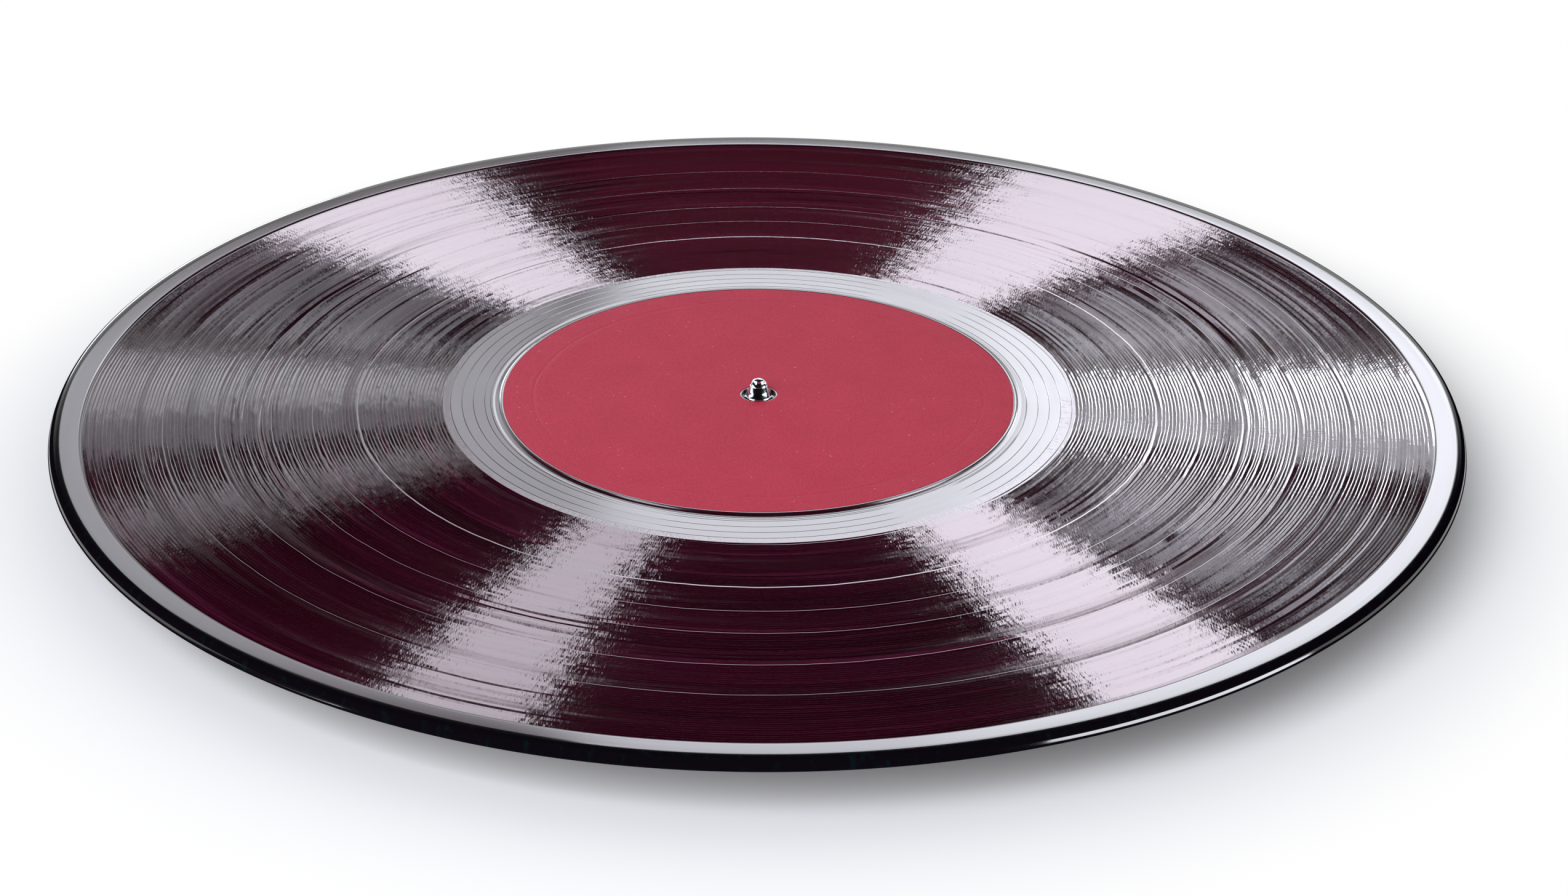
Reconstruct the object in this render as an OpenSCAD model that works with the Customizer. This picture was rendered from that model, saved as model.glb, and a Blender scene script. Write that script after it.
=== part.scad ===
// Twelve inch long playing record on a short centre spindle, in millimetres.
// The origin is the centre of the underside, and +Z is the side that is up.

/* [Disc] */
// Outside diameter of the pressed disc
disc_d = 301.6; // [298:0.1:304]
// Thickness over the raised rim and over the labels
disc_t = 2.4; // [2.2:0.1:3.2]
// Depth of the playing surface below the rim, the same on both sides
guard_h = 0.4; // [0.3:0.05:0.5]
// Width of the flat top of the rim bead
rim_flat_w = 3.2; // [2.4:0.1:4]
// Width of the slope from the rim bead down to the playing surface
rim_slope_w = 0.5; // [0.3:0.1:0.9]

/* [Label] */
// Diameter of the paper labels
label_d = 110; // [100:0.5:112]
// Thickness of the label paper
label_t = 0.15; // [0.1:0.01:0.2]
// Gap between the paper's edge and the wall of its seat
label_gap = 0.05; // [0.03:0.01:0.1]
// Width of the vinyl lip round each label
lip_w = 0.5; // [0.3:0.1:1]
// Width of the slope from the lip down to the run-out area
lip_slope_w = 0.3; // [0.2:0.05:0.6]
// Diameter of the ring that the press leaves in the label
press_ring_d = 97; // [80:0.5:98]
// Width of the pressed ring
press_ring_w = 0.9; // [0.6:0.1:1.4]
// Depth of the pressed ring
press_ring_h = 0.06; // [0.04:0.01:0.1]
// How much wider the hole in the paper is than the hole in the disc
label_hole_over = 0.2; // [0.1:0.05:0.6]

/* [Groove] */
// Width of the groove at the playing surface
groove_w = 0.38; // [0.3:0.01:0.44]
// Angle between the two walls of the groove
groove_angle = 90; // [80:1:110]
// Pitch of the turns in the music
music_pitch = 0.75; // [0.7:0.01:0.9]
// Pitch of the one wide turn between two tracks
gap_pitch = 1.5; // [1.2:0.1:2]
// Pitch of the lead-in turn next to the rim
lead_in_pitch = 1.1; // [1:0.1:1.6]
// Flat margin between the foot of the rim and the first turn
start_margin = 0.6; // [0.4:0.1:1.2]
// Diameter at which the music ends and the run-out starts
music_end_d = 136; // [130:0.5:140]
// Wide turns of the run-out
run_out_turns = 3; // [2:1:4]
// Flat margin between the locked groove and the foot of the label slope
lock_margin = 1.6; // [1.2:0.1:2.4]

/* [Centre] */
// Diameter of the centre hole in the disc
hole_d = 7.24; // [7.24:0.01:7.33]
// Radial running clearance of the disc on the spindle
spin_clear = 0.045; // [0.02:0.005:0.09]
// Diameter of the slimmer nose of the spindle
nose_d = 5.2; // [4.6:0.1:6]
// Depth of the spindle's shoulder below the top of the label
shoulder_depth = 0.8; // [0.5:0.1:1.2]
// Height of the straight part of the nose above the label
nose_h = 0.9; // [0.6:0.1:1.4]
// Diameter of the spindle's cap where its cone ends
cap_d = 3.6; // [3:0.1:4]
// Height of the cone between the nose and the cap
cone_h = 1.1; // [0.8:0.1:1.6]
// Height of the rounded cap
cap_h = 1.3; // [1:0.1:1.5]
// Depth of the ring turned in at the foot of the cap
cap_ring_h = 0.12; // [0.08:0.02:0.2]
// Chamfer at the foot of the spindle
foot_chamfer = 0.4; // [0.2:0.1:0.6]

/* [Hidden] */

$fn = 180;

// Lengths of the tracks on a side, from the rim inwards, in parts of the whole
TRACKS = [24, 14, 16, 11, 12, 23];

disc_r = disc_d / 2;
hole_r = hole_d / 2;
label_r = label_d / 2;
mid_z = disc_t / 2;

// Height of the playing surface above the disc's middle plane
land_h = mid_z - guard_h;

// The rim is a full half round, so its radius is half of the thickness
rim_r = disc_t / 2;
bead_out_r = disc_r - rim_r;
bead_in_r = bead_out_r - rim_flat_w;
slope_foot_r = bead_in_r - rim_slope_w;

seat_r = label_r + label_gap;
lip_out_r = seat_r + lip_w;
lip_foot_r = lip_out_r + lip_slope_w;

groove_h = groove_w / 2 / tan(groove_angle / 2);

// Radii that the turns of the groove run between
start_r = slope_foot_r - start_margin - groove_w / 2;
lock_r = lip_foot_r + lock_margin + groove_w / 2;
music_start_r = start_r - lead_in_pitch;
music_w = music_start_r - music_end_d / 2 - gap_pitch * (len(TRACKS) - 1);
music_turns = floor(music_w / music_pitch);

function sum(list, i = 0) = i >= len(list) ? 0 : list[i] + sum(list, i + 1);
function head(list, n) = [for (i = [0 : 1 : n - 1]) list[i]];

// Whole turns that the first n tracks take together
function turns_to(n) = round(music_turns * sum(head(TRACKS, n)) / sum(TRACKS));

// Pitch of every turn of the music, with one wide turn after each track but the last
music_pitches = [
    for (n = [0 : len(TRACKS) - 1])
        each concat(
            [for (i = [1 : turns_to(n + 1) - turns_to(n)]) music_pitch],
            n < len(TRACKS) - 1 ? [gap_pitch] : []
        )
];
music_last_r = music_start_r - sum(music_pitches);
run_out_pitch = (music_last_r - lock_r) / run_out_turns;
pitches = concat([lead_in_pitch], music_pitches, [for (i = [1 : run_out_turns]) run_out_pitch]);

// Radius of every turn from the lead-in to the locked groove, from the rim inwards
radii = [for (i = [0 : len(pitches)]) start_r - sum(head(pitches, i))];

// Half of the disc's section: its upper side, from the rim bead in to the hole
dent_r = press_ring_d / 2;
dent_half_w = press_ring_w / 2;
seat_h = mid_z - label_t;
upper_side = concat(
    [[bead_out_r, mid_z], [bead_in_r, mid_z], [slope_foot_r, land_h]],
    [
        for (r = radii)
            each [[r + groove_w / 2, land_h], [r, land_h - groove_h], [r - groove_w / 2, land_h]]
    ],
    [
        [lip_foot_r, land_h],
        [lip_out_r, mid_z],
        [seat_r, mid_z],
        [seat_r, seat_h],
        [dent_r + dent_half_w, seat_h],
        [dent_r, seat_h - press_ring_h],
        [dent_r - dent_half_w, seat_h],
        [hole_r, seat_h]
    ]
);
last_point = len(upper_side) - 1;
lower_side = [for (i = [last_point : -1 : 0]) [upper_side[i].x, -upper_side[i].y]];

// Pressed vinyl disc: half round rim, rim bead, grooves, run-out and label seats
module vinyl_disc() {
    color([0.2, 0.03, 0.09])
        translate([0, 0, mid_z])
            rotate_extrude() {
                polygon(concat(upper_side, lower_side));
                intersection() {
                    translate([bead_out_r, 0]) circle(r = rim_r);
                    translate([bead_out_r, -rim_r]) square([rim_r, 2 * rim_r]);
                }
            }
}

// Paper label for the upper side, seated in the disc and pressed down with it
module paper_label() {
    in_r = (hole_d + label_hole_over) / 2;
    rotate_extrude()
        polygon([
            [in_r, seat_h],
            [dent_r - dent_half_w, seat_h],
            [dent_r, seat_h - press_ring_h],
            [dent_r + dent_half_w, seat_h],
            [label_r, seat_h],
            [label_r, mid_z],
            [dent_r + dent_half_w, mid_z],
            [dent_r, mid_z - press_ring_h],
            [dent_r - dent_half_w, mid_z],
            [in_r, mid_z]
        ]);
}

module label_side_a() {
    color([0.72, 0.25, 0.35])
        translate([0, 0, mid_z]) paper_label();
}

module label_side_b() {
    color([0.72, 0.25, 0.35])
        translate([0, 0, mid_z]) rotate([180, 0, 0]) paper_label();
}

// Turned spindle that the record spins on: bearing length, shoulder, nose, cone, cap
module spindle() {
    bearing_r = hole_r - spin_clear;
    nose_r = nose_d / 2;
    cap_r = cap_d / 2;
    shoulder_z = disc_t - shoulder_depth;
    nose_z = shoulder_z + (bearing_r - nose_r) / 2;
    cone_z = disc_t + nose_h;
    ring_z = cone_z + cone_h;
    cap_z = ring_z + 2 * cap_ring_h;
    ball_r = (cap_r * cap_r + cap_h * cap_h) / (2 * cap_h);
    color([0.8, 0.85, 0.86])
        rotate_extrude() {
            polygon([
                [0, 0],
                [bearing_r - foot_chamfer, 0],
                [bearing_r, foot_chamfer],
                [bearing_r, shoulder_z],
                [nose_r, nose_z],
                [nose_r, cone_z],
                [cap_r, ring_z],
                [cap_r - cap_ring_h, ring_z + cap_ring_h],
                [cap_r, cap_z],
                [0, cap_z]
            ]);
            intersection() {
                translate([0, cap_z + cap_h - ball_r]) circle(r = ball_r);
                translate([0, cap_z]) square([cap_r, cap_h]);
            }
        }
}

vinyl_disc();
label_side_a();
label_side_b();
spindle();
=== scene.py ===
# %% [markdown]
# # A twelve inch record on its spindle
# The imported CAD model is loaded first. It is the fixed frame that every piece below is built
# around, in metres, with the middle of the record's underside at the origin and the played side up.

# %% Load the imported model
import math
from collections import namedtuple

import bmesh
import bpy
import numpy as np
from mathutils import Matrix, Vector, noise


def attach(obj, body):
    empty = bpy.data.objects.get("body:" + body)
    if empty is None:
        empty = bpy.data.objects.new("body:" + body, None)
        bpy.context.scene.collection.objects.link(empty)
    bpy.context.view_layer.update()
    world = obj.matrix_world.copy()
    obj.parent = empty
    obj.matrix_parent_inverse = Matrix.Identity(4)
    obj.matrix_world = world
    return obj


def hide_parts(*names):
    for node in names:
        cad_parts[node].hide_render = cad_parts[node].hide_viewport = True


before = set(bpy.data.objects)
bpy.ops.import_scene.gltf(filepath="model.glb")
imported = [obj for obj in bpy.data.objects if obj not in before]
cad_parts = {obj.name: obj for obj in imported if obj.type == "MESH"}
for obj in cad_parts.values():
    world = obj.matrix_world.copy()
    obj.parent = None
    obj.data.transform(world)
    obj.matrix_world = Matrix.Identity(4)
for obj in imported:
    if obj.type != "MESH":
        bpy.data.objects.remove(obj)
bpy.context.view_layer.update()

# %% [markdown]
# ## Sizes
# A record is drawn in millimetres, and Blender counts in metres, so lengths are written in
# millimetres here and multiplied by MM where they become coordinates. Radii are from the middle of
# the hole.

# %% Sizes of the pressed disc, in millimetres
MM = 0.001
DISC_R = 150.8
DISC_T = 2.4
MID_Z = DISC_T / 2
LAND_Z = 2.0
LIP_FOOT_R = 55.85
LIP_OUT_R = 55.55
SEAT_R = 55.05
SEAT_Z = 2.25
HOLE_R = 3.62

# The ring that the press leaves under the paper and in it
DENT_R = 48.5
DENT_HALF = 0.45
DENT_H = 0.06

# %% [markdown]
# ## Formulas as nodes
# Node trees are easier to read as formulas. `Wire` wraps one output socket and turns Python's own
# operators into Math nodes, so `1 - mask` adds a Subtract node. `Graph.add` makes every other node
# from its type, its settings and the values or wires of its inputs. The same two classes serve the
# shader trees and the Geometry Nodes trees.

# %% A socket that can be used in a formula
class Wire:
    """An output socket that Python's operators turn into Math nodes."""

    def __init__(self, graph, socket):
        self.graph = graph
        self.socket = socket

    def math(self, operation, *others):
        values = dict(enumerate((self,) + others))
        return self.graph.add("ShaderNodeMath", {"operation": operation}, values)[0]

    def _flip(self, operation, other):
        return self.graph.add("ShaderNodeMath", {"operation": operation}, {0: other, 1: self})[0]

    def __add__(self, other): return self.math("ADD", other)
    def __radd__(self, other): return self._flip("ADD", other)
    def __sub__(self, other): return self.math("SUBTRACT", other)
    def __rsub__(self, other): return self._flip("SUBTRACT", other)
    def __mul__(self, other): return self.math("MULTIPLY", other)
    def __rmul__(self, other): return self._flip("MULTIPLY", other)
    def __truediv__(self, other): return self.math("DIVIDE", other)
    def __rtruediv__(self, other): return self._flip("DIVIDE", other)
    def __gt__(self, other): return self.math("GREATER_THAN", other)
    def __lt__(self, other): return self.math("LESS_THAN", other)
    def clamp(self, low, high): return self.math("MAXIMUM", low).math("MINIMUM", high)
    def ramp(self, start, end):
        """A smooth step from 0 at start to 1 at end."""
        values = {"Value": self, "From Min": start, "From Max": end}
        return self.graph.add("ShaderNodeMapRange", {"interpolation_type": "SMOOTHSTEP"}, values)[0]

# %% A node tree that is filled by short calls
class Graph:
    """A node tree, with one method that adds every kind of node."""

    def __init__(self, tree):
        self.tree = tree
        tree.nodes.clear()

    def add(self, kind, settings=None, inputs=None):
        """Adds a node with its settings and inputs, and returns its outputs as wires."""
        node = self.tree.nodes.new(kind)
        for name, value in (settings or {}).items():
            setattr(node, name, value)
        for key, value in (inputs or {}).items():
            if isinstance(value, Wire):
                self.tree.links.new(value.socket, node.inputs[key])
            else:
                node.inputs[key].default_value = value
        return [Wire(self, socket) for socket in node.outputs]

# %% [markdown]
# ## Camera
# The photograph is taken from low in front of the record, with the far rim higher in the picture.
# The camera's place, pitch and lens come from the outline of the rim and of the label in the
# photograph: two ellipses of known real size are enough to find all of them. The tiny yaw and roll
# put the record a little to the left of the middle and let it stand a little lower on the right.

# %% Camera at the photograph's angle
CAMERA_AT = Vector((0.000116, -0.693362, 0.336714))
CAMERA_PITCH = 0.464499
CAMERA_YAW = 0.007886
CAMERA_ROLL = 0.010619
FOCAL_PX = 5800.5
IMAGE_W = 2548
SENSOR = 36

camera_data = bpy.data.cameras.new("camera")
camera_data.sensor_width = SENSOR
camera_data.lens = FOCAL_PX * SENSOR / IMAGE_W
camera_data.clip_start = 0.01
camera = bpy.data.objects.new("camera", camera_data)
heading = Vector((math.sin(CAMERA_YAW), math.cos(CAMERA_YAW), 0))
ahead = heading * math.cos(CAMERA_PITCH) - Vector((0, 0, math.sin(CAMERA_PITCH)))
side = Vector((heading.y, -heading.x, 0))
above = side.cross(ahead)
right = math.cos(CAMERA_ROLL) * side + math.sin(CAMERA_ROLL) * above
up = math.cos(CAMERA_ROLL) * above - math.sin(CAMERA_ROLL) * side
camera.matrix_world = Matrix.Translation(CAMERA_AT) @ Matrix((right, up, -ahead)).transposed().to_4x4()
bpy.context.scene.collection.objects.link(camera)
bpy.context.scene.camera = camera
print(f"lens {camera_data.lens:.1f} mm")

# %% [markdown]
# ## Turning a section into a solid
# The rim, the label bed and the spindle are all turned shapes: one closed section, swept once round
# the axis. A lathe in mesh code gives exact rings, merges a point on the axis into one pole, and
# leaves a closed solid. Blender's Screw modifier would do the same, but a mesh can be moved ring by
# ring afterwards, which the paper needs.

# %% Lathe and small mesh helpers
WELD = 1e-7
ON_AXIS = 1e-6
TURNED_OVER = Matrix.Translation((0, 0, DISC_T * MM)) @ Matrix.Rotation(math.pi, 4, "X")


def finish_mesh(name, mesh, sharp_degrees):
    """Links a mesh as an object, with smooth faces that stay crisp at edges sharper than the angle."""
    shape = bmesh.new()
    shape.from_mesh(mesh)
    bmesh.ops.remove_doubles(shape, verts=shape.verts, dist=WELD)
    bmesh.ops.recalc_face_normals(shape, faces=shape.faces)
    sharp = math.radians(sharp_degrees)
    for edge in shape.edges:
        edge.smooth = len(edge.link_faces) != 2 or edge.calc_face_angle(0) < sharp
    for face in shape.faces:
        face.smooth = True
    open_edges = sum(len(edge.link_faces) != 2 for edge in shape.edges)
    shape.to_mesh(mesh)
    shape.free()
    piece = bpy.data.objects.new(name, mesh)
    bpy.context.scene.collection.objects.link(piece)
    print(f"{name}: {len(mesh.polygons)} faces, {open_edges} open edges")
    return piece


def lathe(name, section, segments, sharp_degrees=30):
    """Sweeps a closed section of (radius, height) points in millimetres once round the z axis."""
    points, faces, rings = [], [], []
    for radius, height in section:
        on_axis = radius < ON_AXIS
        ring = []
        for step in range(1 if on_axis else segments):
            angle = 2 * math.pi * step / segments
            ring.append(len(points))
            points.append((radius * math.cos(angle), radius * math.sin(angle), height))
        rings.append(ring * segments if on_axis else ring)
    for number, ring in enumerate(rings):
        after = rings[(number + 1) % len(rings)]
        for step in range(segments):
            follow = (step + 1) % segments
            corners = [ring[step], ring[follow], after[follow], after[step]]
            kept = list(dict.fromkeys(corners))
            if len(kept) > 2:
                faces.append(kept)
    mesh = bpy.data.meshes.new(name)
    mesh.from_pydata([[part * MM for part in point] for point in points], [], faces)
    return finish_mesh(name, mesh, sharp_degrees)


def arc(centre_r, centre_z, radius, start, end, steps):
    """Points of an arc in the section, with its angles in degrees from outward towards up."""
    angles = [math.radians(start + (end - start) * i / steps) for i in range(steps + 1)]
    return [(centre_r + radius * math.cos(a), centre_z + radius * math.sin(a)) for a in angles]

# %% [markdown]
# ## Rim
# The outermost ring of the disc is thicker than the playing surface. It keeps the grooves of two
# stacked records apart. Its flat bead falls away to the edge in a long shoulder, and the edge
# itself is trimmed with a knife while the pressing is warm, which leaves a narrow facet all round.
# The slopes and corners are rounded a little, because hot vinyl never fills a mould's sharp corner,
# and those rounds and the facet are what catches the thin lines of light. The shoulder and the edge
# are a piece of their own, because trimming leaves them another finish than the mould does. Both
# rings are turned on a lathe: one section drawn in millimetres, and the lathe's helper spins it
# round the axis.

# %% Rim ring and trimmed edge
EDGE_SEGMENTS = 720
PLAY_OUT_R = 143.9
BEAD_IN_R = 144.9
BEAD_STEP = 0.5
BEAD_STEPS = 5
BEAD_CROWN = 0.004
BEAD_OUT_R = 147.7
EDGE_IN_R = 149.8


def rim_upper():
    """The rim's section from the playing surface outwards and over the bead."""
    slope = [
        (PLAY_OUT_R, LAND_Z), (PLAY_OUT_R + 0.1, LAND_Z + 0.02),
        (PLAY_OUT_R + 0.4, DISC_T - 0.07), (PLAY_OUT_R + 0.55, DISC_T - 0.012),
    ]
    middle = BEAD_STEPS / 2
    bead = [
        (BEAD_IN_R + i * BEAD_STEP, DISC_T - BEAD_CROWN * ((i - middle) / middle) ** 2)
        for i in range(BEAD_STEPS + 1)
    ]
    return slope + bead + [(BEAD_OUT_R, DISC_T - 0.006)]


def mirrored(section):
    """The same points on the underside, in reverse order, so that both join into one outline."""
    return [(radius, DISC_T - height) for radius, height in reversed(section)]


rim_section = rim_upper()
rim = lathe("rim_ring", rim_section + mirrored(rim_section), EDGE_SEGMENTS)
shoulder = [
    (BEAD_OUT_R, 2.394), (148.1, 2.388), (148.5, 2.374), (148.9, 2.345), (149.3, 2.29),
    (149.6, 2.22), (EDGE_IN_R, 2.14), (150.0, 1.97), (150.17, 1.75), (150.3, 1.5),
]
facet = [(150.42, 1.2), (150.6, 0.68)]
foot = [
    (150.69, 0.5), (150.77, 0.38), (DISC_R, 0.29), (150.75, 0.19), (150.55, 0.1),
    (150.25, 0.045), (EDGE_IN_R, 0.015), (BEAD_OUT_R, 0.006),
]
edge = lathe("trimmed_edge", shoulder + facet + foot, EDGE_SEGMENTS)

# %% [markdown]
# ## Label bed
# Inside the run-out area the disc rises to a narrow lip, and the paper lies in a shallow seat
# within it. The locked groove, which holds the needle when a side has ended, is cut just outside.
# The bed carries both sides and the centre hole.

# %% Label bed with the locked groove and the centre hole
LOCK_R = 57.64
RUN_OUT_HALF = 0.08
BED_OUT_R = LOCK_R + RUN_OUT_HALF
MOULD_RING_R = 56.6
bed_section = [
    (BED_OUT_R, LAND_Z), (LOCK_R, LAND_Z - RUN_OUT_HALF), (LOCK_R - RUN_OUT_HALF, LAND_Z),
    (MOULD_RING_R + 0.15, LAND_Z), (MOULD_RING_R, LAND_Z - 0.04), (MOULD_RING_R - 0.15, LAND_Z),
    (LIP_FOOT_R + 0.1, LAND_Z), (LIP_FOOT_R, LAND_Z + 0.03),
    (LIP_OUT_R + 0.08, DISC_T - 0.09), (LIP_OUT_R - 0.04, DISC_T - 0.02), (LIP_OUT_R - 0.14, DISC_T),
    (SEAT_R + 0.1, DISC_T), (SEAT_R + 0.02, DISC_T - 0.03), (SEAT_R, DISC_T - 0.08), (SEAT_R, SEAT_Z),
    (DENT_R + DENT_HALF, SEAT_Z), (DENT_R, SEAT_Z - DENT_H), (DENT_R - DENT_HALF, SEAT_Z),
    (HOLE_R + 0.12, SEAT_Z), (HOLE_R, SEAT_Z - 0.12),
]
bed = lathe("label_bed", bed_section + mirrored(bed_section), EDGE_SEGMENTS)

# %% [markdown]
# ## Groove
# Each side of a record carries one single groove: a spiral that runs inwards, counter-clockwise
# seen from above, for about a hundred turns here. Its radius follows a rule, so it is a job for
# Geometry Nodes. A long grid is laid along the groove, one row for every step of the turn and one
# column for each corner of the groove's section. The walls of neighbouring turns meet in a sharp
# ridge, and both walls of a turn keep a lean of about 45 degrees wherever the ridges wander,
# because the groove is cut half as deep as it is wide. That lean is what makes the fans of light,
# and its small spread softens them.
#
# Two small node groups hold the rule. The ridge's law says where the ridge inside a turn runs, and
# the groove's law asks it for this turn and the one before, and says where the two lips of the
# groove are. The grid asks the groove's law for this turn and for the next, so neighbouring turns
# share their points and can be merged into one skin.

# %% Turns and pitches of one side, in millimetres
TRACK_TURNS = [20, 13, 14, 10, 11, 24]
MUSIC_PITCH = 0.75
GAP_PITCH = 1.25
BRIGHT_GAP = 4
BRIGHT_GAP_PITCH = 1.3
LEAD_IN_PITCH = 1.1
RUN_OUT_TURNS = 4
FIRST_CUT = 0.06
RIDGE_HALF = 0.002
GAP_HALF = 0.045
BRIGHT_HALF = 0.17

# Turns and pitch of the lead-in, of each track, of the wide turn after it, and of the run-out
stretches = [(1, LEAD_IN_PITCH)]
for number, turns in enumerate(TRACK_TURNS):
    stretches.append((turns, MUSIC_PITCH))
    if number < len(TRACK_TURNS) - 1:
        stretches.append((1, BRIGHT_GAP_PITCH if number == BRIGHT_GAP else GAP_PITCH))
music_end_turn = 1 + sum(TRACK_TURNS) + len(TRACK_TURNS) - 1
music_last_r = PLAY_OUT_R - FIRST_CUT - sum(turns * pitch for turns, pitch in stretches)
run_out_pitch = (music_last_r - BED_OUT_R) / RUN_OUT_TURNS
stretches.append((RUN_OUT_TURNS, run_out_pitch))
last_turn = music_end_turn + RUN_OUT_TURNS
print(f"music ends at turn {music_end_turn}, radius {music_last_r:.2f} mm")
print(f"run-out pitch {run_out_pitch:.2f} mm")

# %% The ridge's law
WOBBLE = 0.08
# Turns between which the loud stretch swells and fades
LOUD_IN = (34, 38)
LOUD_OUT = (54, 58)
TINY_TURN = 1e-5


def tree_with(name, inputs, outputs):
    """A Geometry Nodes tree with named sockets, and the wires of its inputs by name."""
    tree = bpy.data.node_groups.new(name, "GeometryNodeTree")
    for label, kind in inputs:
        tree.interface.new_socket(label, in_out="INPUT", socket_type=kind)
    for label, kind in outputs:
        tree.interface.new_socket(label, in_out="OUTPUT", socket_type=kind)
    graph = Graph(tree)
    wires = graph.add("NodeGroupInput")
    return graph, {label: wire for (label, _), wire in zip(inputs, wires)}


def sway(turn, scale, seed):
    """Noise round 0 along the groove, with about this many waves in a turn."""
    values = {"W": turn + seed, "Scale": scale, "Detail": 1.0}
    return turn.graph.add("ShaderNodeTexNoise", {"noise_dimensions": "1D"}, values)[0] * 4 - 2


def loudness(turn):
    """1 in the loud stretch of the side and 0 in the rest."""
    return turn.ramp(*LOUD_IN) * (1 - turn.ramp(*LOUD_OUT))


FLOAT, INT, GEOMETRY = "NodeSocketFloat", "NodeSocketInt", "NodeSocketGeometry"
ridge, given = tree_with("ridge_law", [("Turn", FLOAT)], [("Radius", FLOAT), ("Half width", FLOAT)])
turn = given["Turn"]
travel = (turn > TINY_TURN) * FIRST_CUT
passed = 0
for turns, pitch in stretches:
    travel = travel + (turn - passed).clamp(0, turns) * pitch
    passed += turns
in_music = turn.ramp(0.1, 1) * (1 - turn.ramp(music_end_turn - 1, music_end_turn))
loud = loudness(turn)
shake = sway(turn, 150, 11.3) * 0.3 + sway(turn, 83, 60.7) * 0.6
shake = shake + sway(turn, 41, 23.9) * (0.6 + loud * 0.5)
shake = shake + sway(turn, 2.3, 7.9) * (0.8 + loud) + sway(turn, 0.83, 3.9) * (0.4 + loud * 2)
ridge_r = PLAY_OUT_R - travel + shake * in_music * WOBBLE
ridge_half = RIDGE_HALF
for number in range(len(TRACK_TURNS) - 1):
    gap_turn = 1 + sum(TRACK_TURNS[: number + 1]) + number + 1
    near = 1 - (turn - (gap_turn - 0.5)).math("ABSOLUTE").ramp(0.47, 0.53)
    gap_half = BRIGHT_HALF if number == BRIGHT_GAP else GAP_HALF
    ridge_half = ridge_half + near * (gap_half - RIDGE_HALF)
ridge_half = (turn > TINY_TURN) * ridge_half
ridge.add("NodeGroupOutput", None, {0: ridge_r, 1: ridge_half})

# %% The groove's law
MUSIC_DEPTH = 0.65
DEPTH_SPREAD = 0.055
law, given = tree_with(
    "groove_law", [("Turn", FLOAT)],
    [("Outer lip", FLOAT), ("Inner lip", FLOAT), ("Depth", FLOAT)],
)
turn = given["Turn"]
outer_ridge = law.add("GeometryNodeGroup", {"node_tree": ridge.tree}, {"Turn": turn - 1})
inner_ridge = law.add("GeometryNodeGroup", {"node_tree": ridge.tree}, {"Turn": turn})
run_out = turn.ramp(music_end_turn - 0.3, music_end_turn)
not_done = turn < last_turn - TINY_TURN
middle = inner_ridge[0].math("MAXIMUM", BED_OUT_R)
thin = RUN_OUT_HALF * not_done
music_out = outer_ridge[0] - outer_ridge[1]
music_in = inner_ridge[0] + inner_ridge[1]
lip_out = music_out + (middle + thin - music_out) * run_out
lip_in = music_in + (middle - thin - music_in) * run_out
spread = (1 + loudness(turn) * 1.2) * DEPTH_SPREAD * (1 - run_out)
lean = 1 + (sway(turn, 7.3, 31.7) * 0.7 + sway(turn, 2.6, 5.9)) * spread
depth = ((lip_out - lip_in) * 0.5).math("MINIMUM", MUSIC_DEPTH) * lean
law.add("NodeGroupOutput", None, {0: lip_out, 1: lip_in, 2: depth})

# %% The pressed surface along the groove
COLUMNS = 4
INDEX_NUDGE = 1e-3
MERGE_WITHIN = 2e-6

press, given = tree_with(
    "pressed_grooves",
    [("First turn", FLOAT), ("Turns", INT), ("Steps in a turn", INT), ("Wall slope", FLOAT),
     ("Land height", FLOAT), ("Metres", FLOAT), ("Vinyl", "NodeSocketMaterial")],
    [("Geometry", GEOMETRY)],
)
steps = given["Steps in a turn"]
rows = given["Turns"] * steps + 1
grid = press.add("GeometryNodeMeshGrid", None, {"Vertices X": rows, "Vertices Y": COLUMNS})[0]
index = press.add("GeometryNodeInputIndex")[0]
row = (index / COLUMNS + INDEX_NUDGE).math("FLOOR")
column = index - row * COLUMNS
row_turn = given["First turn"] + row / steps
angle = row.math("FLOORED_MODULO", steps) / steps * (2 * math.pi)
here = press.add("GeometryNodeGroup", {"node_tree": law.tree}, {"Turn": row_turn})
after = press.add("GeometryNodeGroup", {"node_tree": law.tree}, {"Turn": row_turn + 1})


def is_column(number):
    """1 on this column of the grid and 0 on the others."""
    values = {0: column, 1: float(number), 2: 0.4}
    return press.add("ShaderNodeMath", {"operation": "COMPARE"}, values)[0]


corner_r = (
    is_column(0) * here[0] + is_column(1) * (here[0] + here[1]) * 0.5
    + is_column(2) * here[1] + is_column(3) * after[0]
)
corner_z = given["Land height"] - is_column(1) * here[2] * given["Wall slope"]
spot = press.add("ShaderNodeCombineXYZ", None, {
    "X": corner_r * angle.math("COSINE") * given["Metres"],
    "Y": corner_r * angle.math("SINE") * given["Metres"],
    "Z": corner_z * given["Metres"],
})[0]
skin = press.add("GeometryNodeSetPosition", None, {"Geometry": grid, "Position": spot})[0]
skin = press.add("GeometryNodeMergeByDistance", None, {"Geometry": skin, "Distance": MERGE_WITHIN})[0]
skin = press.add("GeometryNodeRealizeInstances", None, {"Geometry": skin})[0]
skin = press.add("GeometryNodeSetMaterial", None, {"Geometry": skin, "Material": given["Vinyl"]})[0]
press.add("NodeGroupOutput", None, {"Geometry": skin})

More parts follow.
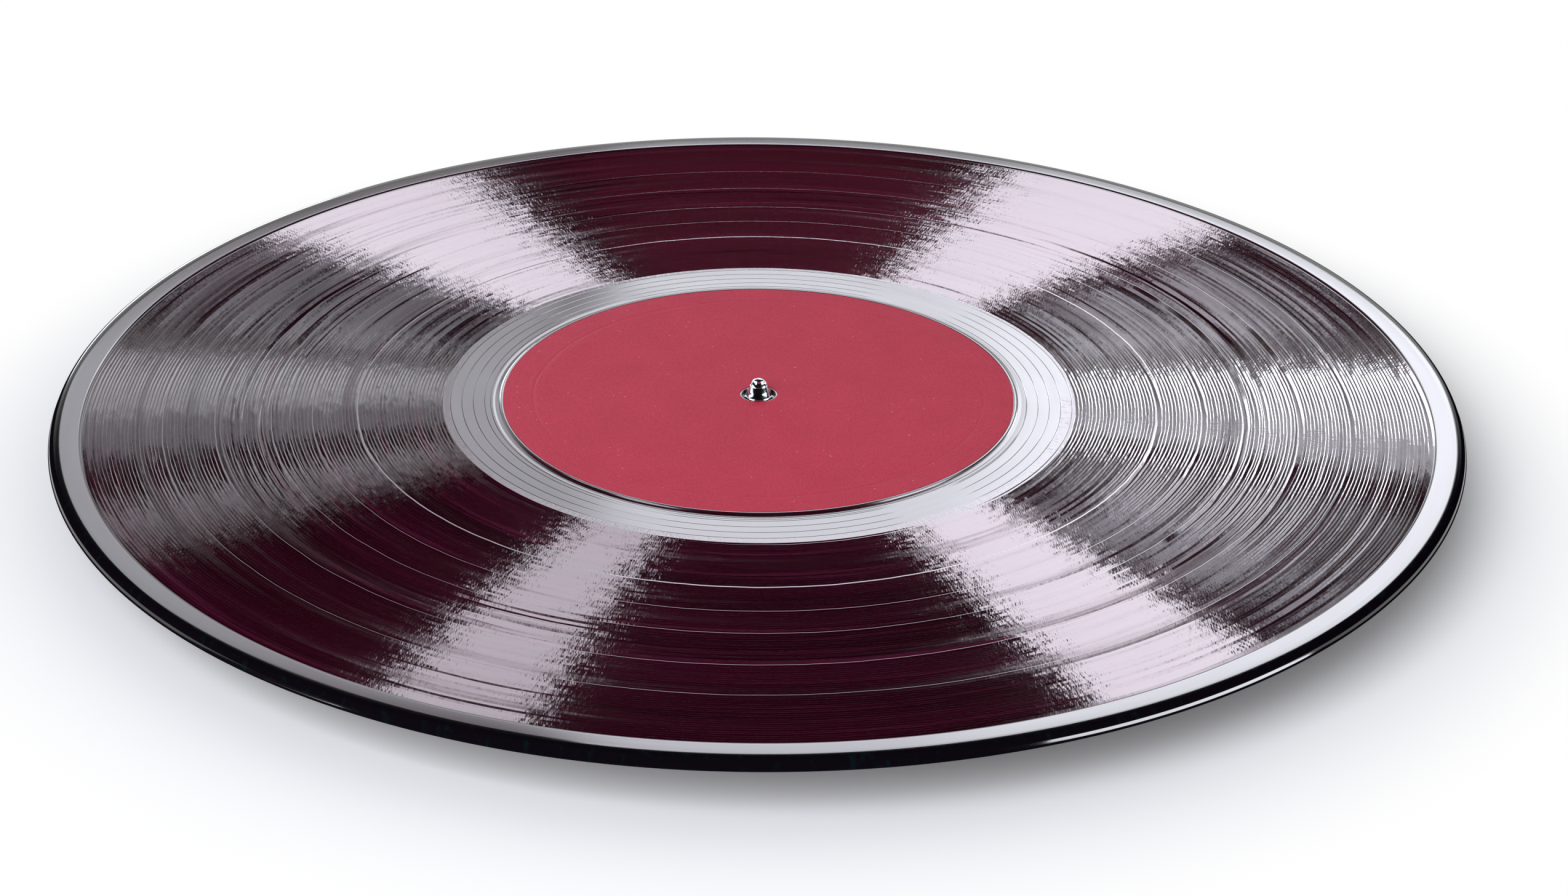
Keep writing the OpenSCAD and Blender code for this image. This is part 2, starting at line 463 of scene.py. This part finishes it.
# %% [markdown]
# ## Finishes
# Pressed vinyl is dark and glossy all through, and most of what the eye sees on it is reflected
# light. A groove's walls lean at 45 degrees and run round the middle, so each lamp shows as a fan
# of light that points at the hole. The fans are soft at their sides because the music shakes the
# walls. The slow part of that shake is in the mesh. The fast part is a fine bump across the groove,
# short along it, which frays the sides of the fans into streaks. Paper is all fibre and hardly
# glossy, and the trimmed edge is matt black but for its polished facet and its shoulder: those wear
# a clear coat where the height says so.

# %% Shader helpers
def new_material(name):
    """A material with an empty tree, and the graph that fills it."""
    material = bpy.data.materials.new(name)
    material.use_nodes = True
    return material, Graph(material.node_tree)


Polar = namedtuple("Polar", "away across along height place")
GENERATED, OBJECT = 0, 3


def rounds(graph):
    """A point's distance from the axis, the two parts of its direction, its height, and itself."""
    place = graph.add("ShaderNodeTexCoord")[OBJECT]
    x, y, z = graph.add("ShaderNodeSeparateXYZ", None, {0: place})
    away = (x * x + y * y).math("SQRT")
    return Polar(away, x / away, y / away, z, place)


def grain(graph, at, scale, detail, rough=0.5):
    """Plain noise at these coordinates."""
    values = {"Vector": at, "Scale": scale, "Detail": detail, "Roughness": rough}
    return graph.add("ShaderNodeTexNoise", None, values)[0]


def ring_noise(graph, polar, per_metre, round_scale, detail=2.0, rough=0.5, shift=0.0):
    """Noise in rings: fine across the grooves and drawn out along them."""
    at = graph.add("ShaderNodeCombineXYZ", None, {
        "X": polar.across * round_scale,
        "Y": polar.along * round_scale,
        "Z": polar.away * per_metre + shift,
    })[0]
    return grain(graph, at, 1.0, detail, rough)


def mix_colour(graph, factor, low, high):
    """The first colour where the factor is 0, and the second where it is 1."""
    return graph.add("ShaderNodeMix", {"data_type": "RGBA"}, {0: factor, 6: low, 7: high})[2]


def bump(graph, height, strength=1.0):
    """A normal that leans as on a relief of this height in millimetres."""
    values = {"Strength": strength, "Distance": MM, "Height": height}
    return graph.add("ShaderNodeBump", None, values)[0]


def ray_kinds(graph):
    """Whether a ray comes from the camera, from a mirror or through glass."""
    path = graph.add("ShaderNodeLightPath")
    return path[0], path[3], path[6]


def principled(graph, settings):
    """Ends the tree in one Principled shader with these sockets."""
    shader = graph.add("ShaderNodeBsdfPrincipled", None, settings)[0]
    graph.add("ShaderNodeOutputMaterial", None, {"Surface": shader})

# %% Grooved vinyl
WINE = (0.023, 0.0006, 0.0055, 1)
WINE_DEEP = (0.011, 0.0002, 0.0022, 1)
WINE_PALE = (0.05, 0.004, 0.016, 1)
VINYL_IOR = 1.68

grooved_vinyl, shade = new_material("grooved_vinyl")
polar = rounds(shade)
streak = ring_noise(shade, polar, 1400, 60, 3, 0.6)
comb = ring_noise(shade, polar, 500, 190, 2, 0.5, 3.3)
bands = ring_noise(shade, polar, 110, 0.8, 3, 0.6, 7.7)
rings = ring_noise(shade, polar, 420, 0.5, 4, 0.65, 5.5)
arcs = ring_noise(shade, polar, 300, 0.8, 4, 0.6, 1.9)
wine = mix_colour(shade, bands.ramp(0.3, 0.7), WINE_DEEP, WINE)
principled(shade, {
    "Base Color": mix_colour(shade, rings.ramp(0.58, 0.72), wine, WINE_PALE),
    "Roughness": 0.08 + bands * 0.05 + arcs.ramp(0.5, 0.75) * 0.18,
    "IOR": VINYL_IOR,
    "Specular Tint": (0.98, 0.92, 1, 1),
    "Normal": bump(shade, comb * 0.03 + streak * 0.003),
})

# %% Smooth vinyl
smooth_vinyl, shade = new_material("smooth_vinyl")
polar = rounds(shade)
haze = ring_noise(shade, polar, 400, 3, 4, 0.6)
hairline = ring_noise(shade, polar, 9000, 5, 2, 0.5, 2.2)
principled(shade, {
    "Base Color": mix_colour(shade, haze.ramp(0.3, 0.7), WINE_DEEP, WINE),
    "Roughness": 0.1 + haze * 0.1,
    "IOR": VINYL_IOR,
    "Specular Tint": (0.95, 0.95, 1, 1),
    "Normal": bump(shade, hairline * 0.0006, 0.6),
})

# %% Trimmed edge
EDGE_BLACK = (0.003, 0.002, 0.0035, 1)
# Teal for the specks in the edge's nicks, which are painted glints
EDGE_GLINT_TEAL = (0.002, 0.007, 0.009, 1)
# Heights in metres between which the clear coat starts or ends
FACET_FOOT = (0.00062, 0.0007)
FACET_TOP = (0.00116, 0.00124)
SHOULDER_FOOT = (0.00222, 0.00232)

trimmed_vinyl, shade = new_material("trimmed_vinyl")
polar = rounds(shade)
nicks_and_glints = ring_noise(shade, polar, 500, 90, 3, 0.6)
scrape = ring_noise(shade, polar, 5000, 20, 3, 0.6, 4.4)
facet_gloss = polar.height.ramp(*FACET_FOOT) * (1 - polar.height.ramp(*FACET_TOP))
shoulder_gloss = polar.height.ramp(*SHOULDER_FOOT)
principled(shade, {
    # The nicks are real in roughness and bump, and the teal specks that they lay on the black are
    # painted glints
    "Base Color": mix_colour(shade, nicks_and_glints.ramp(0.55, 0.75), EDGE_BLACK, EDGE_GLINT_TEAL),
    "Roughness": 0.3 + nicks_and_glints * 0.1,
    "Specular IOR Level": 0.0,
    "Coat Weight": (facet_gloss + shoulder_gloss).clamp(0, 1),
    "Coat Roughness": 0.08,
    "Coat IOR": 1.6,
    "Normal": bump(shade, nicks_and_glints * 0.003 + scrape * 0.001, 0.8),
})

# %% Label paper
PAPER = (0.54, 0.032, 0.074, 1)
PAPER_DARK = (0.41, 0.018, 0.045, 1)
PAPER_PALE = (0.66, 0.24, 0.30, 1)
# Radii in metres between which the worn ring starts and ends
WORN_FROM = (0.0462, 0.0475)
WORN_TO = (0.054, 0.055)

label_paper, shade = new_material("label_paper")
polar = rounds(shade)
fibre = grain(shade, polar.place, 2600, 5, 0.7)
cloud = grain(shade, polar.place, 90, 4, 0.6)
cells = {"Vector": polar.place, "Scale": 420, "Randomness": 1.0}
specks = shade.add("ShaderNodeTexVoronoi", {"feature": "F1"}, cells)[0]
speck = (1 - specks.ramp(0.05, 0.11)) * cloud.ramp(0.5, 0.56)
scuff = ring_noise(shade, polar, 2600, 4, 4, 0.7).ramp(0.52, 0.68)
worn = scuff * polar.away.ramp(*WORN_FROM) * (1 - polar.away.ramp(*WORN_TO))
mottle = (fibre * 0.85 + cloud * 0.15).ramp(0.38, 0.62)
tone = mix_colour(shade, mottle, PAPER_DARK, PAPER)
tone = mix_colour(shade, worn * 0.6, tone, PAPER_DARK)
tone = mix_colour(shade, speck * 0.6, tone, PAPER_PALE)
principled(shade, {
    "Base Color": tone,
    "Roughness": 0.62 - worn * 0.15 + fibre * 0.1,
    "Specular IOR Level": 0.1,
    "Normal": bump(shade, fibre * 0.03 + cloud * 0.01 - worn * 0.015),
})

# %% Chrome
CHROME = (0.78, 0.85, 0.86, 1)
CHROME_DARK = (0.55, 0.64, 0.66, 1)

chrome, shade = new_material("chrome")
polar = rounds(shade)
turned = {"Z": polar.height * 30000, "X": polar.away * 6000}
tool_marks = grain(shade, shade.add("ShaderNodeCombineXYZ", None, turned)[0], 1.0, 2)
wear = grain(shade, polar.place, 900, 4, 0.65)
principled(shade, {
    "Base Color": mix_colour(shade, wear.ramp(0.35, 0.7), CHROME_DARK, CHROME),
    "Metallic": 1.0,
    "Roughness": 0.07 + wear * 0.12,
    "Normal": bump(shade, tool_marks * 0.0006, 0.5),
})

# %% [markdown]
# ## Pressing the two sides
# A single mesh for all turns would be too heavy, so each track is a piece of its own, and so is the
# run-out. The skin that Geometry Nodes make has an open edge all round. It is drawn down to the
# disc's middle plane and filled there, so every piece is a closed solid, as thick as half of the
# disc. The underside is the same pressing turned over, so its groove also runs the right way.

# %% Press one piece and close it
WALL_SLOPE = 1.0
STEPS_TOP = 960
STEPS_UNDER = 240
RIDGE_SHARP = 34


def set_inputs(modifier, values):
    """Sets a modifier's inputs by the identifiers of their sockets."""
    for item in modifier.node_group.interface.items_tree:
        if item.item_type == "SOCKET" and item.in_out == "INPUT" and item.name in values:
            modifier[item.identifier] = values[item.name]


def close_below(mesh, floor_z):
    """Draws the open edge of a skin down to one height and fills it there."""
    shape = bmesh.new()
    shape.from_mesh(mesh)
    open_edges = [edge for edge in shape.edges if len(edge.link_faces) == 1]
    drawn = bmesh.ops.extrude_edge_only(shape, edges=open_edges)["geom"]
    low = {item for item in drawn if isinstance(item, bmesh.types.BMVert)}
    for vert in low:
        vert.co.z = floor_z
    rim_edges = [
        item for item in drawn if isinstance(item, bmesh.types.BMEdge) and low.issuperset(item.verts)
    ]
    bmesh.ops.triangle_fill(shape, use_beauty=True, edges=rim_edges)
    shape.to_mesh(mesh)
    shape.free()


def press_piece(name, first, turns, steps_in_turn, under):
    """One closed piece of a side, from one turn of the groove to another."""
    holder = bpy.data.objects.new(name + "_grid", bpy.data.meshes.new(name + "_grid"))
    bpy.context.scene.collection.objects.link(holder)
    modifier = holder.modifiers.new("grooves", "NODES")
    modifier.node_group = press.tree
    set_inputs(modifier, {
        "First turn": float(first), "Turns": turns, "Steps in a turn": steps_in_turn,
        "Wall slope": WALL_SLOPE, "Land height": LAND_Z, "Metres": MM, "Vinyl": grooved_vinyl,
    })
    bpy.context.view_layer.update()
    ready = holder.evaluated_get(bpy.context.evaluated_depsgraph_get())
    mesh = bpy.data.meshes.new_from_object(ready)
    mesh.name = name
    holder.modifiers.clear()
    bpy.data.objects.remove(holder)
    close_below(mesh, MID_Z * MM)
    if under:
        mesh.transform(TURNED_OVER)
    return finish_mesh(name, mesh, RIDGE_SHARP)

# %% Press both sides
pressed = []
for side_name, steps_in_turn, under in (("a", STEPS_TOP, False), ("b", STEPS_UNDER, True)):
    first = 0
    for number, turns in enumerate(TRACK_TURNS):
        count = turns + (number == 0) + (number < len(TRACK_TURNS) - 1)
        name = f"track_{side_name}_{number + 1}"
        pressed.append(press_piece(name, first, count, steps_in_turn, under))
        first += count
    inner = press_piece(f"run_out_{side_name}", first, RUN_OUT_TURNS, EDGE_SEGMENTS, under)
    inner.data.materials.clear()
    inner.data.materials.append(smooth_vinyl)
    pressed.append(inner)
    print(f"side {side_name} ends at turn {first + RUN_OUT_TURNS}")

# %% [markdown]
# ## Labels
# A record label is plain paper that is baked dry and pressed into the vinyl with the sides. It has
# no thickness to speak of, but its edge is a little ragged, it is dented by a ring of the press,
# and its face is never quite flat. It is turned like the other rings, and its points are then moved
# a little by noise.

# %% Paper labels
LABEL_R = 55.0
LABEL_HOLE_R = 4.0
LABEL_T = 0.15
LABEL_SEGMENTS = 360
CUT_ROUND = 0.03
FRAYED_R = 54.8
FACE_WAVE = 0.006


def paper_radii():
    """Rings of the label, close together at the dent and at its two edges."""
    plain = [LABEL_HOLE_R, LABEL_HOLE_R + 0.15] + [float(r) for r in np.linspace(5, 47.5, 44)]
    dent = [DENT_R + DENT_HALF * (i / 4) for i in range(-4, 5)]
    rest = [float(r) for r in np.linspace(49.5, 54.6, 12)] + [54.85, LABEL_R]
    return plain + dent + rest


def dented(radius):
    """How deep the press ring is at this radius, as a soft trough."""
    off = min(1.0, abs(radius - DENT_R) / DENT_HALF)
    return DENT_H * 0.5 * (1 + math.cos(math.pi * off))


def make_label(name, under):
    """A paper label with a frayed cut and an uneven face."""
    radii = paper_radii()
    cuts = (LABEL_HOLE_R, LABEL_R)
    upper = [(r, DISC_T - dented(r) - (CUT_ROUND if r in cuts else 0)) for r in radii]
    lower = [(r, DISC_T - LABEL_T - dented(r)) for r in reversed(radii)]
    label = lathe(name, upper + lower, LABEL_SEGMENTS, sharp_degrees=50)
    for vert in label.data.vertices:
        spread = math.hypot(vert.co.x, vert.co.y)
        if spread > FRAYED_R * MM:
            flat = Vector((vert.co.x, vert.co.y, 0))
            ragged = noise.noise(flat * 900) * 0.5 + noise.noise(flat * 160)
            pull = 1 - (0.03 + 0.05 * ragged) * MM / spread
            vert.co.x *= pull
            vert.co.y *= pull
        if vert.co.z > (DISC_T - 0.1) * MM:
            wave = noise.noise(Vector((vert.co.x, vert.co.y, 0)) * 45)
            vert.co.z += (wave - 1) * FACE_WAVE * MM
    if under:
        label.data.transform(TURNED_OVER)
    label.data.materials.append(label_paper)
    return label


label_a = make_label("paper_label_a", False)
label_b = make_label("paper_label_b", True)

# %% [markdown]
# ## Spindle
# The record turns on a bearing length that fills the centre hole. Above it stands a slimmer nose,
# which narrows a little as it rises, with a cone and a rounded cap, so that the hole finds its way
# down. Turned steel has small rounds at every corner, and a polished pin shows each of them as a
# bright line, so the section carries them all.

# %% Turned spindle
BEARING_R = 3.575
CAP_R = 1.8
CAP_FOOT_Z = 4.64
CAP_TOP_Z = 5.94
CAP_BALL_R = 1.8962
CAP_CENTRE_Z = CAP_TOP_Z - CAP_BALL_R
SPINDLE_SEGMENTS = 96

bearing = [(0, 0), (BEARING_R - 0.4, 0), (BEARING_R, 0.4), (BEARING_R, 1.6)]
nose = [(2.85, 1.92), (2.7, 2.0), (2.6, 2.12), (2.27, 3.22)]
cone = [(2.25, 3.28), (2.22, 3.34), (1.88, 4.26), (1.83, 4.34)]
turned_ring = [(CAP_R, 4.4), (1.66, 4.5), (1.62, 4.56), (1.66, 4.62), (CAP_R, CAP_FOOT_Z)]
cap_start = math.degrees(math.asin((CAP_FOOT_Z - CAP_CENTRE_Z) / CAP_BALL_R))
cap = arc(0, CAP_CENTRE_Z, CAP_BALL_R, cap_start, 90, 16)[1:-1] + [(0, CAP_TOP_Z)]
spindle_section = bearing + nose + cone + turned_ring + cap
spindle = lathe("turned_spindle", spindle_section, SPINDLE_SEGMENTS, sharp_degrees=25)
spindle.data.materials.append(chrome)

# %% [markdown]
# ## Stage, lamps and backdrop
# The record lies a little above a white table, on a small plain stand that it hides. Two jobs of
# the light are kept apart here, as a product photographer keeps them apart with black cards:
#
# - The glints. Narrow soft boxes hang over the record and stand round it, each at the place where
#   one family of groove walls or one flat looks at it. The fans come from the four hung strips, and
#   the grey lines at the sides from the low boxes behind. These lamps are seen by reflections only.
# - The plain light on floor, label and vinyl. A dim even dome and one large key lamp from the front
#   left give it. The key isn't seen by reflections, or it would lay a veil over the dark between
#   the fans.
#
# The floor turns white away from the record for the camera, so that the shadow near it is all that
# stays of the table, and even there a faint painted glow lightens that shadow. The backdrop is white
# for the camera, and low down behind the record for reflections too.

# %% Stage
FLOOR_WHITE = (0.93, 0.93, 0.935, 1)
# Near the record the floor still glows this much: painted light that lightens the record's shadow
GLOW_NEAR = 0.09

# In metres: the floor's height and half width, and the radii between which it turns white
FLOOR_Z = -0.0134
FLOOR_HALF = 6
GLOW_FADE = (0.1484, 0.19)

# In millimetres
STAND_R = 42
STAND_TOP = -0.05
STAND_SEGMENTS = 96

white_floor, shade = new_material("white_floor")
lit = shade.add("ShaderNodeBsdfDiffuse", None, {"Color": FLOOR_WHITE})[0]
glow = shade.add("ShaderNodeEmission", None, {"Color": (1, 1, 1, 1), "Strength": 1.0})[0]
camera_ray, mirror_ray, glass_ray = ray_kinds(shade)
seen = (camera_ray + mirror_ray + glass_ray).clamp(0, 1)
painted_glow_share = (GLOW_NEAR + (1 - GLOW_NEAR) * rounds(shade).away.ramp(*GLOW_FADE)) * seen
mixed = shade.add("ShaderNodeMixShader", None, {0: painted_glow_share, 1: lit, 2: glow})[0]
shade.add("ShaderNodeOutputMaterial", None, {"Surface": mixed})

corners = [(x * FLOOR_HALF, y * FLOOR_HALF, FLOOR_Z) for x, y in ((-1, -1), (1, -1), (1, 1), (-1, 1))]
floor_mesh = bpy.data.meshes.new("floor")
floor_mesh.from_pydata(corners, [], [(0, 1, 2, 3)])
floor_mesh.materials.append(white_floor)
floor = bpy.data.objects.new("floor", floor_mesh)
bpy.context.scene.collection.objects.link(floor)
foot_z = FLOOR_Z / MM
stand_section = [(0, foot_z), (STAND_R, foot_z), (STAND_R, STAND_TOP), (0, STAND_TOP)]
stand = lathe("stand", stand_section, STAND_SEGMENTS)
stand.data.materials.append(white_floor)

# %% Lamps
LAMP_Z = 0.8
FAR = 1.5
PEARL = (0.975, 0.955, 1)
COOL = (0.92, 0.94, 1)
CARD_WINE = (1, 0.14, 0.28)


def soft_box(name, middle, along, across, radiance, colour, fills=False):
    """A rectangular lamp with these two half sides, facing the record, for glints or for filling."""
    middle, along, across = Vector(middle), Vector(along), Vector(across)
    back = along.cross(across).normalized()
    if back.dot(middle) < 0:
        across, back = -across, -back
    data = bpy.data.lights.new(name, "AREA")
    data.shape = "RECTANGLE"
    data.size = 2 * along.length
    data.size_y = 2 * across.length
    data.energy = radiance * math.pi * data.size * data.size_y
    data.color = colour
    lamp = bpy.data.objects.new(name, data)
    turned = Matrix((along.normalized(), across.normalized(), back)).transposed().to_4x4()
    lamp.matrix_world = Matrix.Translation(middle) @ turned
    lamp.visible_camera = False
    lamp.visible_diffuse = fills
    lamp.visible_glossy = not fills
    bpy.context.scene.collection.objects.link(lamp)


def hung_strip(name, start, end, width, radiance):
    """A long soft box hung level over the record, from one point of the plan to another."""
    start, end = Vector((*start, LAMP_Z)), Vector((*end, LAMP_Z))
    half = (end - start) / 2
    across = Vector((-half.y, half.x, 0)).normalized() * width / 2
    soft_box(name, (start + end) / 2, half, across, radiance, PEARL)


def standing_box(name, azimuth, elevation, turn_by, climb_by, slant, radiance, fills=False):
    """A soft box that stands round the record, placed by compass angles from straight behind."""
    def spot(a, e):
        a, e = math.radians(a), math.radians(e)
        return Vector((math.sin(a) * math.cos(e), math.cos(a) * math.cos(e), math.sin(e))) * FAR
    middle = spot(azimuth, elevation)
    right_end = spot(azimuth + turn_by, elevation + slant)
    left_end = spot(azimuth - turn_by, elevation - slant)
    along = (right_end - left_end) / 2
    across = (spot(azimuth, elevation + climb_by) - spot(azimuth, elevation - climb_by)) / 2
    across -= along.normalized() * across.dot(along.normalized())
    soft_box(name, middle, along, across, radiance, COOL, fills)


# Ends in the plan in metres, width, radiance
hung_strip("left_strip", (-0.78, 0.29), (-0.4, -0.1), 0.3, 12)
hung_strip("right_strip", (0.5, -0.05), (0.83, 0.4), 0.28, 11.3)
hung_strip("left_front_strip", (-0.8, -0.28), (-0.44, -0.45), 0.27, 7.2)
hung_strip("right_front_strip", (0.69, -0.34), (1.18, 0.08), 0.36, 11.8)
# Azimuth and elevation, half width and half height in degrees, slant, radiance
standing_box("back_box", 9, 30, 14, 8.5, 0, 5.4)
standing_box("back_box_right", 15, 28, 9, 8, 0, 1.8)
standing_box("back_box_left", -13, 28, 8, 5.5, 0, 2.6)
standing_box("back_left_low", -22, 8, 7, 5.5, -5, 20)
standing_box("back_left_mid", -32, 15, 5, 3, -4, 2)
standing_box("back_left", -50, 30.5, 13, 3, -9.7, 4)
standing_box("back_left_side", -49, 8, 5, 3, -4, 0.9)
standing_box("back_right_low", 44, 5.5, 6, 4.5, 5, 13)
standing_box("back_right_mid", 60, 17, 10, 2.8, 7.5, 4)
standing_box("right_side", 76, 27, 6, 2.8, 4.5, 3.2)
standing_box("back_right", 49, 30.5, 14, 3, 10.5, 1.8)
standing_box("front_right_low", 117, 4, 24, 6, 0, 13)
standing_box("front_left_low", -98, 9.5, 24, 3, 0, 8)
standing_box("key", -154, 36, 29, 17, 0, 7.4, True)
soft_box("wine_card", (0, -0.22, LAMP_Z), (0.4, 0, 0), (0, 0.12, 0), 0.45, CARD_WINE)

# %% World
# Slopes of the view between which the mirrored backdrop fades, upwards and to its sides
BACKDROP_TOP = (0.3, 0.44)
BACKDROP_LEFT = (-2.0, -1.6)
BACKDROP_RIGHT = (2.0, 2.6)
BACKDROP_FRONT = (0.0, 0.1)
MIRRORED_AMBIENT = 0.002
PLAIN_AMBIENT = 0.36

world = bpy.data.worlds.new("studio")
bpy.context.scene.world = world
world.use_nodes = True
sky = Graph(world.node_tree)
camera_ray, mirror_ray, glass_ray = ray_kinds(sky)
x, y, z = sky.add("ShaderNodeSeparateXYZ", None, {0: sky.add("ShaderNodeTexCoord")[GENERATED]})
height_fade = 1 - z.ramp(*BACKDROP_TOP)
sideways = x / y.math("MAXIMUM", 0.01)
across = sideways.ramp(*BACKDROP_LEFT) * (1 - sideways.ramp(*BACKDROP_RIGHT))
mirrored_ray = (mirror_ray + glass_ray).clamp(0, 1)
backdrop = mirrored_ray * height_fade * across * y.ramp(*BACKDROP_FRONT)
ambient = MIRRORED_AMBIENT * mirrored_ray + PLAIN_AMBIENT * (1 - mirrored_ray)
dim = sky.add("ShaderNodeBackground", None, {"Color": (0.96, 0.97, 1, 1), "Strength": ambient})[0]
white = sky.add("ShaderNodeBackground", None, {"Color": (1, 1, 1, 1), "Strength": 1.0})[0]
shares = {0: (camera_ray + backdrop).clamp(0, 1), 1: dim, 2: white}
both = sky.add("ShaderNodeMixShader", None, shares)[0]
sky.add("ShaderNodeOutputWorld", None, {"Surface": both})
bpy.context.scene.view_settings.view_transform = "Standard"

# %% [markdown]
# ## Hand the pieces to the frame
# Everything that is pressed or glued to the disc turns with the record, and the spindle stands
# still.

# %% Ride, replace and finish
edge.data.materials.append(trimmed_vinyl)
for piece in (rim, bed):
    piece.data.materials.append(smooth_vinyl)
for piece in [rim, edge, bed] + pressed:
    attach(piece, "record")
    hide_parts("vinyl_disc")
for piece, node in ((label_a, "label_side_a"), (label_b, "label_side_b")):
    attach(piece, "record")
    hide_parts(node)
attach(spindle, "spindle")
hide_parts("spindle")
